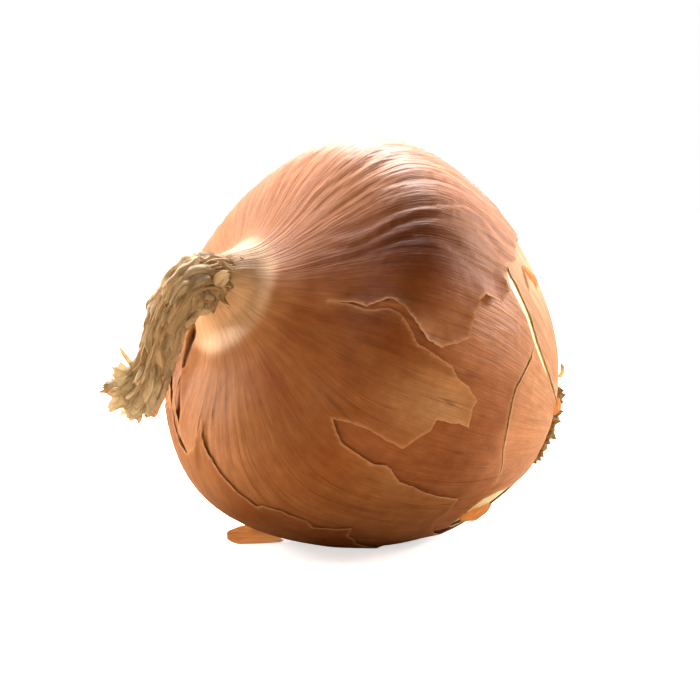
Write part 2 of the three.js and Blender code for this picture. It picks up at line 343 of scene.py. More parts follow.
def thicken(top, under, faces):
    """Closes a sheet: its top, its underside and the rim between them."""
    count = len(top)
    sides = np.vstack((faces[:, (0, 1)], faces[:, (1, 2)], faces[:, (2, 0)]))
    known = {tuple(s) for s in sides.tolist()}
    rim = [(a, b) for a, b in known if (b, a) not in known]
    walls = [(b, a, a + count, b + count) for a, b in rim]
    return np.vstack((top, under)), faces.tolist() + (faces[:, ::-1] + count).tolist() + walls


def outward(top, faces):
    """The faces, turned so that they face away from the middle of the onion."""
    a, b, c = (top[faces[:, k]] for k in range(3))
    normal = np.cross(b - a, c - a)
    away = (a + b + c) / 3 - WIDEST_CENTRE
    return faces if (normal * away).sum() > 0 else faces[:, ::-1]


def capped_tube(columns, rows):
    """Faces of a tube of rings, closed by a fan at each end. The fans' middles are the two places that
    follow those of the rings."""
    faces = []
    for row in range(rows - 1):
        for column in range(columns):
            a, b = row * columns + column, row * columns + (column + 1) % columns
            faces.append((a, a + columns, b + columns, b))
    last = (rows - 1) * columns
    for column in range(columns):
        a, b = column, (column + 1) % columns
        faces.append((a, b, rows * columns))
        faces.append((last + b, last + a, rows * columns + 1))
    return faces


def turned_out(places, faces, middle, reach=math.inf):
    """The faces, turned away from a middle. Only those within reach of it decide which way that is."""
    a, b, c = (places[[face[k] for face in faces]] for k in range(3))
    near = np.linalg.norm(a - middle, axis=1) < reach
    if (np.cross(b - a, c - a) * (a - middle))[near].sum() < 0:
        return [face[::-1] for face in faces]
    return faces


LIP_REACH = 4.5           # how far back from a torn edge the skin lifts
EDGE_FADE = 0.3           # how far back from a torn edge its pale rim fades
COLLAR_RAG = 0.15         # how uneven the skins end round the neck
collar_waves = waves(17, (9, 40), (0.1, 0.2), 10)


def make_skin(name, material, depth, relief, openings=(), patch=None, region=None, floor=0.0,
              thickness=PAPER, pitch=SKIN_PITCH, shade=None):
    """A papery skin at a depth, as a closed thin sheet with torn openings. relief(degrees, run) shapes it,
    and the lips of its torn edges stand off."""
    low, high = region or ((SEAM, 0.0), (SEAM + 360, RUN_END))
    low = (math.radians(low[0]) * WIDEST_RADIUS, low[1])
    high = (math.radians(high[0]) * WIDEST_RADIUS, high[1])
    flat, faces = cut_pattern(low, high, pitch, openings, patch)
    if patch is None and region is None:
        flat, faces = drop_unused(flat, close_seam(flat, faces, low[0], high[0]))
    degrees, run = np.degrees(flat[:, 0] / WIDEST_RADIUS), flat[:, 1]
    run = run + COLLAR_RAG * (1 + collar_waves(degrees, run)) * np.clip(1 - run / 3, 0, 1)
    lift = relief(degrees, run) - depth
    marks = {"edge": np.zeros(len(flat))}
    edges = list(openings) + ([patch] if patch is not None else [])
    if edges:
        border = np.vstack(edges)
        border = border[(border[:, 1] > -5) & (border[:, 1] < RUN_END + 5)]
        round_degrees = np.degrees(border[:, 0] / WIDEST_RADIUS)
        distance, nearest = edge_distance(
            on_onion(degrees, run, np.zeros(len(flat))),
            on_onion(round_degrees, border[:, 1], np.zeros(len(border))),
        )
        lip = border[nearest, 2]
        lift += lip * np.clip(1 - distance / LIP_REACH, 0, 1) ** 2
        marks["edge"] = np.exp(-distance / EDGE_FADE)
    if shade:
        marks.update(shade(degrees, run))
    top = on_onion(degrees, run, lift)
    under = on_onion(degrees, run, lift - thickness)
    top[:, 2] = np.maximum(top[:, 2], floor)
    under[:, 2] = np.maximum(under[:, 2], floor + thickness)
    faces = outward(top, faces)
    places, faces = thicken(top, under, faces)
    grain = np.vstack((flat, flat))
    marks = {key: np.concatenate((value, value)) for key, value in marks.items()}
    marks["inside"] = np.repeat((0.0, 1.0), len(top))
    return mesh_object(name, places, faces, material, grain, marks)


# ------------------------------------------------------------------ materials


def colour(hex_code):
    """Linear RGBA from an sRGB hex value."""
    parts = [int(hex_code[i : i + 2], 16) / 255 for i in (1, 3, 5)]
    return [p / 12.92 if p <= 0.04045 else ((p + 0.055) / 1.055) ** 2.4 for p in parts] + [1.0]


def add(tree, kind, inputs=None, output=None, stops=(), **settings):
    """Adds a node with its settings, its ramp's stops, and its inputs as values or links. Gives the node,
    or one of its outputs."""
    made = tree.nodes.new(kind)
    for key, value in settings.items():
        setattr(made, key, value)
    for key, value in (inputs or {}).items():
        if isinstance(value, bpy.types.NodeSocket):
            tree.links.new(value, made.inputs[key])
        else:
            made.inputs[key].default_value = value
    if stops:
        elements = made.color_ramp.elements
        while len(elements) < len(stops):
            elements.new(0.5)
        for element, (position, value) in zip(elements, stops):
            element.position = position
            element.color = value if isinstance(value, (tuple, list)) else (value, value, value, 1)
    return made if output is None else made.outputs[output]


MATH = "ShaderNodeMath"
RAMP = "ShaderNodeValToRGB"
MIX = "ShaderNodeMix"
VECTOR = "ShaderNodeVectorMath"


def new_material(name):
    material = bpy.data.materials.new(name)
    material.use_nodes = True
    material.node_tree.nodes.clear()
    return material, material.node_tree


def grain_noise(tree, grain, across, along, detail=3.0, rough=0.5, offset=0.0, distortion=0.0):
    """Noise drawn out along the grain: features this many millimetres across and along it."""
    scale = (1 / (across * MM), 1 / (along * MM), 1)
    place = {"Vector": grain, "Location": (offset, offset * 0.7, 0), "Scale": scale}
    place = add(tree, "ShaderNodeMapping", place, "Vector")
    noise = {"Vector": place, "Scale": 1.0, "Detail": detail, "Roughness": rough}
    return add(tree, "ShaderNodeTexNoise", {**noise, "Distortion": distortion}, "Fac")


def thin_lines(tree, grain, across, along, width, offset):
    """Fine lines along the grain, this far apart and this wide, that come and go: 1 on a line."""
    height = grain_noise(tree, grain, across, along, 1.5, 0.4, offset)
    away = add(tree, MATH, {0: height, 1: 0.5}, 0, operation="SUBTRACT")
    away = add(tree, MATH, {0: away}, 0, operation="ABSOLUTE")
    line = add(tree, RAMP, {"Fac": away}, "Color", ((0.0, 1.0), (width / across, 0.0)))
    seen = grain_noise(tree, grain, 7, 30, 2, 0.5, offset + 4)
    seen = add(tree, RAMP, {"Fac": seen}, "Color", ((0.42, 0.0), (0.6, 1.0)))
    return add(tree, MIX, {0: 1.0, 6: line, 7: seen}, 2, data_type="RGBA", blend_type="MULTIPLY")


def skin_material(name, tints, vein_strength, gloss, through, bump):
    """Dry onion skin, a papery leaf of parallel fibres. tints are the hex values of its parts."""
    material, tree = new_material(name)
    grain = add(tree, "ShaderNodeUVMap", output="UV", uv_map="grain")
    tint = {part: colour(value) for part, value in tints.items()}
    parts = ("dusk", "bloom", "blush", "edge", "inside", "plain", "flare", "purple")
    mark = {part: add(tree, "ShaderNodeAttribute", output="Fac", attribute_name=part) for part in parts}

    streak = grain_noise(tree, grain, 2.6, 70, 3, 0.6, 3.1)
    fibre = grain_noise(tree, grain, 0.34, 9, 5, 0.72, 7.7)
    mottle = grain_noise(tree, grain, 3.2, 4.5, 5, 0.62, 2.2)
    blotch = grain_noise(tree, grain, 14, 34, 4, 0.6)
    gathers = grain_noise(tree, grain, 1.7, 26, 5, 0.6, 9.1, 0.6)
    blotches = add(tree, RAMP, {"Fac": blotch}, "Color", ((0.38, 0.0), (0.64, 1.0)))
    streaks = add(tree, RAMP, {"Fac": streak}, "Color", ((0.34, 1.0), (0.6, 0.0)))
    gathers = add(tree, RAMP, {"Fac": gathers}, "Color", ((0.36, 0.0), (0.6, 1.0)))
    fine_stops = ((0.3, (0.8, 0.77, 0.74, 1)), (0.7, (1.14, 1.12, 1.1, 1)))
    fine = add(tree, RAMP, {"Fac": fibre}, "Color", fine_stops)
    patch_stops = ((0.3, (0.84, 0.8, 0.76, 1)), (0.7, (1.1, 1.1, 1.1, 1)))
    patches = add(tree, RAMP, {"Fac": mottle}, "Color", patch_stops)

    strong = thin_lines(tree, grain, 4.6, 190, 0.07, 1.3)
    faint = thin_lines(tree, grain, 2.1, 110, 0.04, 5.9)
    veins = add(tree, MIX, {0: 1.0, 6: strong, 7: faint}, 2, data_type="RGBA", blend_type="LIGHTEN")
    veined = add(tree, MATH, {0: 1.0, 1: mark["plain"]}, 0, operation="SUBTRACT")
    veins = add(tree, MATH, {0: veins, 1: veined}, 0, operation="MULTIPLY")
    # The valleys between the gathers on the top, where the bump sinks, are darker: painted shade.
    valley_painted_shade = add(tree, MATH, {0: 1.0, 1: gathers}, 0, operation="SUBTRACT")
    valley_painted_shade = add(tree, MATH, {0: valley_painted_shade, 1: mark["blush"]}, 0, operation="MULTIPLY")

    layers = (
        # Next: the darker tint, painted shade on the bulb's front and underside, and the neck leaves' own
        # darker tone.
        (mark["blush"], 1.0, tint["blush"], "MIX"), (mark["dusk"], 1.0, tint["dusk"], "MIX"),
        (blotches, 0.45, tint["warm"], "MIX"), (streaks, 0.25, tint["dark"], "MIX"),
        # The purple-brown band: partly the skin's colour, partly painted shade.
        (mark["purple"], 1.0, tint["purple"], "MIX"), (mark["bloom"], 1.0, tint["pale"], "MIX"),
        # The pale tint inside the ridge round the neck: painted light.
        (mark["flare"], 1.0, tint["flare"], "MIX"), (1.0, 1.0, fine, "MULTIPLY"),
        (1.0, 1.0, patches, "MULTIPLY"), (veins, vein_strength, tint["vein"], "MIX"),
        (mark["edge"], 0.6, tint["rim"], "MIX"), (mark["inside"], 0.8, tint["inside"], "MIX"),
        # Painted shade in the valleys between the gathers.
        (valley_painted_shade, 0.4, tint["dark"], "MIX"),
    )
    colours = tint["dry"]
    for place, strength, layer, how in layers:
        share = add(tree, MATH, {0: place, 1: strength}, 0, operation="MULTIPLY")
        layered = {0: share, 6: colours, 7: layer}
        colours = add(tree, MIX, layered, 2, data_type="RGBA", blend_type=how)

    height = streak
    for wave, strength in ((fibre, 0.5), (gathers, mark["blush"]), (mottle, 0.9)):
        height = add(tree, MATH, {0: wave, 1: strength, 2: height}, 0, operation="MULTIPLY_ADD")
    normal = {"Height": height, "Strength": bump, "Distance": 0.3 * MM}
    normal = add(tree, "ShaderNodeBump", normal, "Normal")
    rough = add(tree, RAMP, {"Fac": fibre}, "Color", ((0.3, gloss - 0.06), (0.7, gloss + 0.1)))
    paper = add(
        tree, "ShaderNodeBsdfPrincipled",
        {"Base Color": colours, "Roughness": rough, "IOR": 1.45, "Normal": normal,
         "Specular IOR Level": 0.14}, 0,
    )
    shine = add(tree, "ShaderNodeBsdfTranslucent", {"Color": colours, "Normal": normal}, 0)
    both = add(tree, "ShaderNodeMixShader", {0: through, 1: paper, 2: shine}, 0)
    add(tree, "ShaderNodeOutputMaterial", {"Surface": both})
    return material


# Outermost dry skin: copper brown and half gloss. Its fibres are drawn a little coarser than real.
outer_paper = skin_material(
    "dry_outer_onion_skin",
    dict(dry="#b88259", blush="#cf967a", dusk="#8f4f22", warm="#bd8650", dark="#874d24", pale="#c49c74",
         vein="#4a2410", purple="#5c3022", flare="#f8d6b4", rim="#dca57a", inside="#d9b27c"),
    vein_strength=0.55, gloss=0.46, through=0.15, bump=0.45,
)
# The skin below it: smoother, pinker and a little glossier, with fewer veins.
inner_paper = skin_material(
    "inner_onion_skin",
    dict(dry="#c0805a", blush="#cf9872", dusk="#8c5029", warm="#c68a62", dark="#955a34", pale="#e0c79b",
         vein="#5a2c16", purple="#8a5a3c", flare="#f2c7a2", rim="#d9b084", inside="#dfc393"),
    vein_strength=0.4, gloss=0.38, through=0.15, bump=0.35,
)
# The dried leaf bases of the neck: dull grey-tan straw, fibrous, with cream where it is freshly torn. Its
# tints are paler than that straw: painted light that makes up for the shade on the neck's front.
neck_straw = skin_material(
    "dried_onion_neck",
    dict(dry="#ecd8b6", blush="#ecccaa", dusk="#b0946f", warm="#f0d8b0", dark="#7c5f3c", pale="#fffae8",
         vein="#3f2c18", purple="#8a6a48", flare="#f4e2b8", rim="#fbf0d0", inside="#f3e3bf"),
    vein_strength=0.6, gloss=0.66, through=0.35, bump=1.0,
)
# Loose flakes of the outermost skin: so thin that they glow orange against the light. Their near
# white-orange tints, paler than the skin, are painted light for that glow.
flake_paper = skin_material(
    "loose_onion_skin_flake",
    dict(dry="#ffd9a8", blush="#ffdcb2", dusk="#fcc088", warm="#ffe4bc", dark="#fcc48c", pale="#ffefd2",
         vein="#8a4a20", purple="#d08a50", flare="#f6d5a6", rim="#fcdcae", inside="#fad0a0"),
    vein_strength=0.35, gloss=0.5, through=0.8, bump=0.4,
)


def flesh_material():
    """Fresh outer scale of the bulb: moist, pale yellow-green and faintly ribbed, with a soft shine."""
    material, tree = new_material("fresh_onion_scale")
    grain = add(tree, "ShaderNodeUVMap", output="UV", uv_map="grain")
    rib = grain_noise(tree, grain, 1.6, 90, 2, 0.5)
    stops = ((0.35, colour("#e6dba6")), (0.55, colour("#f3e9c4")), (0.7, colour("#faf3dc")))
    colours = add(tree, RAMP, {"Fac": rib}, "Color", stops)
    normal = add(tree, "ShaderNodeBump", {"Height": rib, "Strength": 0.3, "Distance": 0.3 * MM}, "Normal")
    flesh = add(
        tree, "ShaderNodeBsdfPrincipled",
        {"Base Color": colours, "Roughness": 0.34, "IOR": 1.4, "Normal": normal,
         "Subsurface Weight": 0.15, "Subsurface Scale": 2 * MM}, 0,
    )
    add(tree, "ShaderNodeOutputMaterial", {"Surface": flesh})
    return material


def root_material(name, pale, dark, roughness):
    """Dry root tissue: dull corky brown with darker pits and no shine."""
    material, tree = new_material(name)
    place = add(tree, "ShaderNodeTexCoord", output="Object")
    pits = {"Vector": place, "Scale": 1 / (1.1 * MM), "Detail": 4.0}
    pits = add(tree, "ShaderNodeTexNoise", pits, "Fac")
    colours = add(tree, RAMP, {"Fac": pits}, "Color", ((0.36, colour(dark)), (0.66, colour(pale))))
    normal = add(tree, "ShaderNodeBump", {"Height": pits, "Strength": 0.7, "Distance": 0.4 * MM}, "Normal")
    look = {"Base Color": colours, "Roughness": roughness, "Normal": normal}
    cork = add(tree, "ShaderNodeBsdfPrincipled", look, 0)
    add(tree, "ShaderNodeOutputMaterial", {"Surface": cork})
    return material


fresh_scale = flesh_material()
root_cork = root_material("dry_onion_root_plate", "#b09060", "#6e5630", 0.8)
root_fibre = root_material("dry_onion_rootlet", "#caa06a", "#8a663a", 0.7)

# ------------------------------------------------------------------ torn places
# Outlines on the skins: degrees round, distance along the axis, and how far the torn lip stands off.

FRONT_OPENING = [
    (-20, -38, 0.0), (-6, -29, 0.0), (10, -22, 0.1), (26, -17.5, 0.2), (38.5, -14.7, 0.4), (43, -12, 0.5),
    (48.5, -10.4, 0.9), (52, -11.9, 1.2), (56.5, -9.6, 1.2), (56.5, -4.7, 0.9), (59, -3.3, 0.7),
    (64, -2.6, 0.7), (70, -2.9, 0.8), (72.5, 0.3, 0.8), (75, 3.7, 0.9), (74.5, 7.3, 1.0),
    (72.5, 9.9, 1.0), (70, 12.3, 1.0), (67, 15, 0.9), (65.5, 17.1, 0.7), (67, 19, 0.5), (69, 20.7, 0.4),
    (67.5, 22.2, 0.3), (68.5, 24, 0.1), (68.8, 22.4, 0.1), (70, 20.6, 0.1), (68.4, 17.1, 0.1),
    (69.5, 14.8, 0.1), (72.5, 12.3, 0.1), (75.8, 9.6, 0.1), (76.8, 6.7, 0.1), (77.4, 3, 0.2),
    (78.4, -1.1, 0.3), (81, -3.6, 0.3), (82, -7.3, 0.3), (85, -11.9, 0.4), (87, -11.1, 0.3),
    (89, -11.5, 0.3), (93, -12.7, 0.3), (92.5, -9.6, 0.3), (93.5, -3.3, 0.2), (97, -3.3, 0.2),
    (100, -1.1, 0.2), (104, 0.6, 0.2), (104, 3, 0.2), (103, 9.3, 0.1), (104, 13.9, 0.05), (107, 17, 0.05),
    (110.5, 13.1, 0.05), (111.5, 4, 0.1), (110.5, 1.3, 0.1), (114, -4, 0.2), (115.5, -10.8, 0.2),
    (117, -17.4, 0.3), (118.5, -22, 0.3), (124, -22.5, 0.3), (131, -21.5, 0.4), (139, -24, 0.5),
    (146, -27, 0.5), (158, -31, 0.4), (166, -40, 0.2), (166, -46, 0.0), (-24, -46, 0.0), (-26, -42, 0.0),
]
# Two splits beside the neck on the far left, whose lips curl up.
LEFT_SPLIT = [
    (250, 31, 1.4), (243, 27.5, 1.7), (235, 25.6, 1.6), (229, 24.8, 1.4), (216, 24.1, 1.0),
    (203, 23.0, 0.5), (195, 21.0, 0.1), (202, 21.9, 0.1), (213, 22.6, 0.2), (222, 23, 0.4),
    (226, 23.8, 0.8), (229, 26, 1.2), (230, 31, 1.4),
]
NECK_SPLIT = [
    (217, 31, 1.9), (213, 28.2, 2.2), (209, 26.2, 2.2), (203, 25.1, 1.8), (195, 24.2, 1.2),
    (188.6, 23.2, 0.6), (186.8, 21.6, 0.3), (177.5, 20.7, 0.1), (170.5, 21, 0.0), (178, 20.2, 0.1),
    (186.2, 20.9, 0.1), (187.6, 21.9, 0.2), (192, 22.4, 0.3), (197.5, 23, 0.6), (200.5, 24.2, 1.0),
    (201, 26, 1.4), (197, 28.5, 1.6), (193, 31, 1.6),
]
LOWER_REMNANT = [
    (200, 22.2, 0.1), (191, 21.4, 0.1), (183, 20.6, 0.1), (177, 20.6, 0.1), (171, 21.6, 0.2),
    (166.5, 23.7, 0.4), (163.5, 22.0, 0.4), (158.5, 20.9, 0.3), (155.5, 19.2, 0.2), (152.2, 17.6, 0.2),
    (149.2, 15, 0.2), (148.0, 13.2, 0.3), (145.3, 12.9, 0.3), (142.2, 10.2, 0.3), (140.6, 5, 0.3),
    (143.2, 2, 0.2), (141, -0.1, 0.3), (137.6, -4.4, 0.3), (143, -6.2, 0.2), (145.5, -8.8, 0.3),
    (150, -11, 0.3), (152.5, -15.1, 0.3), (165, -24, 0.2), (185, -28, 0.2), (205, -25, 0.2),
    (222, -15, 0.2), (228, 0, 0.2), (222, 14, 0.1), (212, 20, 0.1),
]
SPLIT = [
    (37, -10.5, 0.1), (43, -12.3, 0.2), (48, -14.5, 0.2), (50.5, -17.8, 0.25), (53.5, -22.5, 0.25),
    (58, -26.6, 0.2), (62.5, -31.9, 0.3), (65, -37.8, 0.2), (67, -43.5, 0.1), (64.5, -43.5, 0.1),
    (62.6, -39.4, 0.1), (59.4, -34.2, 0.0), (55.2, -28.8, 0.0), (49.6, -24.2, 0.0), (46.6, -19.8, 0.0),
    (42.8, -14.6, 0.0),
]
CROSS_CRACK = [
    (58.0, -26.9, 0.2), (64.5, -26.45, 0.35), (72, -24.6, 0.4), (77, -23.3, 0.35), (81.5, -23.6, 0.3),
    (87, -24.5, 0.3), (94.5, -26.2, 0.3), (99, -27.5, 0.2), (104, -29.5, 0.2), (110, -31, 0.1),
    (115.5, -31.5, 0.1), (110, -30.9, 0.1), (104, -29.4, 0.1), (99, -27.35, 0.1), (94.5, -26.05, 0.1),
    (87, -24.35, 0.1), (81.5, -23.45, 0.1), (77, -23.15, 0.1), (72, -24.4, 0.1), (64.5, -26.2, 0.1),
]
LOWER_OPENING = [
    (124, -44, 0.3), (124.5, -39.4, 0.5), (121.5, -34, 0.6), (123, -30.5, 0.6), (128, -29, 0.6),
    (134, -28.5, 0.5), (143, -29, 0.4), (152, -32, 0.3), (156, -38, 0.2), (148, -44, 0.2),
]

# ------------------------------------------------------------------ skins

lumps = waves(11, (1, 5), (0.3, 1.6), 10)
pleat_waves = waves(23, (38, 76), (0.03, 0.3), 14)
fine_pleats = waves(29, (90, 170), (0.1, 0.8), 14)
neck_pleats = waves(31, (16, 44), (0.2, 1.2), 12)
wrinkle_waves = waves(37, (8, 30), (3, 9), 16)
wander_waves = waves(43, (2, 14), (1.5, 5), 12)


def spot(degrees, run, centre, spread):
    """1 at a place (degrees, distance along the axis), fading over a spread in degrees and millimetres."""
    round_share = turn_distance(degrees, centre[0]) / spread[0]
    return np.exp(-(round_share**2) - ((run - run_at(centre[1])) / spread[1]) ** 2)


def pleat_share(degrees, run):
    """Strong pleats along the top, fading to the front."""
    top = 1 - smooth_step(34, 76, turn_distance(degrees, 8))
    back = 0.5 * (1 - smooth_step(40, 100, turn_distance(degrees, 250)))
    ends = smooth_step(run_at(27), run_at(17), run) * (1 - 0.6 * smooth_step(run_at(-24), run_at(-44), run))
    return np.maximum(top, back) * ends


def form(degrees, run):
    """The bulb's own unevenness, which every layer follows: soft lumps, a ridge round the neck, and a
    flatter cheek on the front below the ridge."""
    from_ridge = run - ridge_run(degrees)
    ridge = 0.3 * np.exp(-((from_ridge / 3.0) ** 2))
    cheek = np.exp(-(((run - run_at(21.5)) / 11) ** 2)) * smooth_step(-1, 9, from_ridge)
    cheek *= 1 - smooth_step(30, 80, turn_distance(degrees, 70))
    belly = 1.0 * spot(degrees, run, (182, 8), (34, 17))
    crown = 1.2 * spot(degrees, run, (-5, 4), (40, 20))
    return 0.2 * lumps(degrees, run) + ridge - 2.6 * cheek + belly + crown


def near_neck(run):
    return 1 - smooth_step(run_at(31), run_at(16), run)


def near_root(run):
    return smooth_step(run_at(-30), run_at(-43), run)


def outer_relief(degrees, run):
    pleats = pleat_share(degrees, run)
    wander = degrees + 1.6 * wander_waves(degrees, run)
    crease = 1.5 * spot(degrees, run, (160, 23), (36, 6)) + 0.5 * spot(degrees, run, (75, 25), (50, 5))
    return (
        form(degrees, run)
        + pleats * (0.1 * pleat_waves(wander, run) + 0.2 * crests(pleat_waves(wander, run)))
        + 0.12 * (0.05 + pleats) * crests(fine_pleats(wander, run))
        + (0.06 * near_neck(run) + 0.22 * crease + 0.15 * near_root(run)) * crests(neck_pleats(degrees, run))
    )


def inner_relief(degrees, run):
    beside_split = spot(degrees, run, (56, -19), (10, 9)) + 0.8 * spot(degrees, run, (72, -29), (8, 6))
    return (
        form(degrees, run)
        + 0.03 * crests(pleat_waves(degrees, run))
        + 0.3 * beside_split * crests(wrinkle_waves(degrees, run))
    )


def outer_shade(degrees, run):
    """Marks for the outer skin's colour: painted shade where the front is darker and warmer past the ridge
    round the neck, a purple-brown band that is partly painted shade, painted light that makes the skin
    inside the ridge paler, blush along the top, bloom where it has lifted off the skin below."""
    front = 1 - smooth_step(25, 80, turn_distance(degrees, 84))
    from_ridge = run - ridge_run(degrees)
    # Paler skin inside the ridge round the neck: painted light.
    flare = 0.9 * (1 - smooth_step(-2.5, 1.2, from_ridge))
    # The front past the ridge round the neck is darker and warmer: painted shade.
    dusk = front * smooth_step(0.5, 8, from_ridge) * (1 - 0.6 * smooth_step(run_at(15), run_at(-8), run))
    # A purple-brown band along the upper front: partly the skin's colour, partly painted shade.
    purple = np.maximum(spot(degrees, run, (46, 17), (15, 19)), 0.8 * spot(degrees, run, (64, 20), (20, 10)))
    purple = 0.95 * purple * smooth_step(-0.5, 4, from_ridge)
    blush = 1 - smooth_step(30, 80, turn_distance(degrees, 5))
    flap = spot(degrees, run, (90, -5), (8, 8)) + 0.5 * spot(degrees, run, (92, 6), (10, 10))
    low = spot(degrees, run, (114, -9), (5, 12))
    bloom = np.clip(0.6 * flap + 0.35 * low, 0, 0.8)
    plain = 0.85 * (1 - smooth_step(run_at(26), run_at(8), run))
    return {
        "dusk": dusk * (1 - bloom), "bloom": bloom, "blush": blush, "plain": plain, "flare": flare,
        "purple": purple,
    }


def inner_shade(degrees, run):
    front = 1 - smooth_step(15, 60, turn_distance(degrees, 98))
    # The front of this skin is darker down to the crack near the root: painted shade, where the flap above
    # shades it.
    dusk = front * (0.9 - 0.8 * smooth_step(run_at(-22), run_at(-28), run))
    bloom = 0.7 * spot(degrees, run, (30, -24), (16, 14)) + 0.8 * (1 - smooth_step(4, 11, run))
    blush = 1 - smooth_step(30, 70, turn_distance(degrees, 40))
    bloom = np.maximum(bloom, 0.85 * spot(degrees, run, (212, 26.5), (30, 7)))
    return {"dusk": dusk * (1 - bloom), "bloom": bloom, "blush": blush}


def lower_shade(degrees, run):
    # The whole remnant under the onion is darker: painted shade.
    return {"dusk": np.full(len(run), 0.75)}


def place_piece(piece, node):
    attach(piece, "root")
    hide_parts(node)
    return piece


place_piece(
    make_skin(
        "outer_skin_paper", outer_paper, 0.0, outer_relief, shade=outer_shade, floor=OUTER_FLAT,
        openings=[ragged(FRONT_OPENING, 5), ragged(LEFT_SPLIT, 6, 0.08), ragged(NECK_SPLIT, 7, 0.08)],
    ),
    "outer_skin",
)
place_piece(
    make_skin(
        "lower_skin_paper", outer_paper, LOWER_DEPTH, outer_relief, shade=lower_shade, floor=LOWER_FLAT,
        patch=ragged(LOWER_REMNANT, 8), region=((120, 0.0), (240, RUN_END)),
    ),
    "lower_skin",
)
place_piece(
    make_skin(
        "inner_skin_paper", inner_paper, INNER_DEPTH, inner_relief, shade=inner_shade, floor=INNER_FLAT,
        openings=[ragged(SPLIT, 9, 0.08), ragged(CROSS_CRACK, 10, 0.04), ragged(LOWER_OPENING, 11, 0.15)],
    ),
    "inner_skin",
)


def make_flesh():
    """The fleshy body, closed at the neck and at the root."""
    columns, rows = 180, 130
    degrees, run = np.meshgrid(np.arange(columns) * 360 / columns, np.linspace(0, RUN_END, rows))
    degrees, run = degrees.ravel(), run.ravel()
    places = on_onion(degrees, run, form(degrees, run) - FLESH_DEPTH)
    ends = [places[:columns].mean(0), places[-columns:].mean(0)]
    places = np.vstack((places, ends))
    places[:, 2] = np.maximum(places[:, 2], FLESH_FLAT)
    faces = turned_out(places, capped_tube(columns, rows), WIDEST_CENTRE)
    grain = np.stack((np.radians(degrees) * WIDEST_RADIUS, run), -1)
    grain = np.vstack((grain, grain[:2]))
    return mesh_object("bulb_flesh", places, faces, fresh_scale, grain)


place_piece(make_flesh(), "bulb")

# ------------------------------------------------------------------ leaves, shreds and flakes


def unit(vectors):
    return vectors / np.maximum(np.linalg.norm(vectors, axis=-1, keepdims=True), 1e-9)


def ripples(rng, count, low, high):
    """Seeded ripples of a strip, -1 to 1, over its width (-1 to 1) and its length in millimetres."""
    across = rng.uniform(0.5, 3, count)
    along = rng.uniform(low, high, count) * 2 * math.pi
    phases = rng.uniform(0, 2 * math.pi, count)

    def height(width, length):
        total = 0.0
        for a, b, phase in zip(across, along, phases):
            total = total + np.sin(a * width + b * length + phase)
        return total / math.sqrt(count)

    return height


def strip(path, facing, half_width, cup, seed, across=7, crumple=0.2, fold=0.0, jag=0.8, thickness=0.16):
    """A thin strip of dry leaf along a path: its closed mesh and grain. It faces the way given, is cupped
    by an angle, crumpled and folded lengthwise, and its last end is jagged."""
    rng = np.random.default_rng(seed)
    tangent = unit(np.gradient(path, axis=0))
    side = unit(np.cross(tangent, facing))
    out = unit(np.cross(side, tangent))
    width = np.linspace(-1, 1, across)[None, :]
    length = np.concatenate(((0,), np.cumsum(np.linalg.norm(np.diff(path, axis=0), axis=1))))[:, None]
    half = np.asarray(half_width, float)[:, None]
    bend = np.maximum(abs(np.broadcast_to(cup, (len(path),))), 1e-3)[:, None]
    sign = np.sign(np.broadcast_to(cup, (len(path),)) + 1e-6)[:, None]
    sideways = half * np.sin(width * bend) / bend
    raised = -sign * half * (1 - np.cos(width * bend)) / bend
    raised = raised + crumple * ripples(rng, 7, 0.05, 0.45)(width * 2, length)
    raised = raised + fold * np.sin(width * rng.uniform(4, 7) + rng.uniform(0, 6) + 0.3 * length)
    ending = np.clip((length - length[-1] + 2.5) / 2.5, 0, 1)
    jags = rng.normal(0, jag, across)[None, :] * ending
    places = (
        path[:, None, :]
        + side[:, None, :] * sideways[..., None]
        + out[:, None, :] * raised[..., None]
        + tangent[:, None, :] * jags[..., None]
    )
    rows = len(path)
    top = places.reshape(-1, 3)
    normal = np.repeat(out, across, 0)
    index = np.arange(rows * across).reshape(rows, across)
    a, b, c, d = index[:-1, :-1], index[1:, :-1], index[1:, 1:], index[:-1, 1:]
    faces = np.vstack((np.stack((a, d, c), -1).reshape(-1, 3), np.stack((a, c, b), -1).reshape(-1, 3)))
    one, two, three = (top[faces[:, k]] for k in range(3))
    if (np.cross(two - one, three - one) * normal[faces[:, 0]]).sum() < 0:
        faces = faces[:, ::-1]
    places, faces = thicken(top, top - normal * thickness, faces)
    grain = np.stack(np.broadcast_arrays(width * half + seed * 7.3, length + seed * 3.1), -1).reshape(-1, 2)
    share = np.broadcast_to(length / length[-1], (rows, across)).reshape(-1)
    return places, faces, np.vstack((grain, grain)), np.concatenate((share, share)), len(top)


def gather(name, strips, material, marks=()):
    """One object of many strips. marks gives each strip's values, as functions of its share of length."""
    places, faces, grains, values = [], [], [], {}
    total = 0
    for piece, strip_marks in zip(strips, marks):
        at, strip_faces, grain, share, half = piece
        places.append(at)
        grains.append(grain)
        faces += [tuple(v + total for v in face) for face in strip_faces]
        total += len(at)
        given = {**strip_marks, "inside": lambda s, half=half: (np.arange(len(s)) >= half) * 1.0}
        for mark, value in given.items():
            values.setdefault(mark, []).append(value(share))
    values = {mark: np.concatenate(value) for mark, value in values.items()}
    return mesh_object(name, np.vstack(places), faces, material, np.vstack(grains), values, crease=70)


# ------------------------------------------------------------------ the dried neck

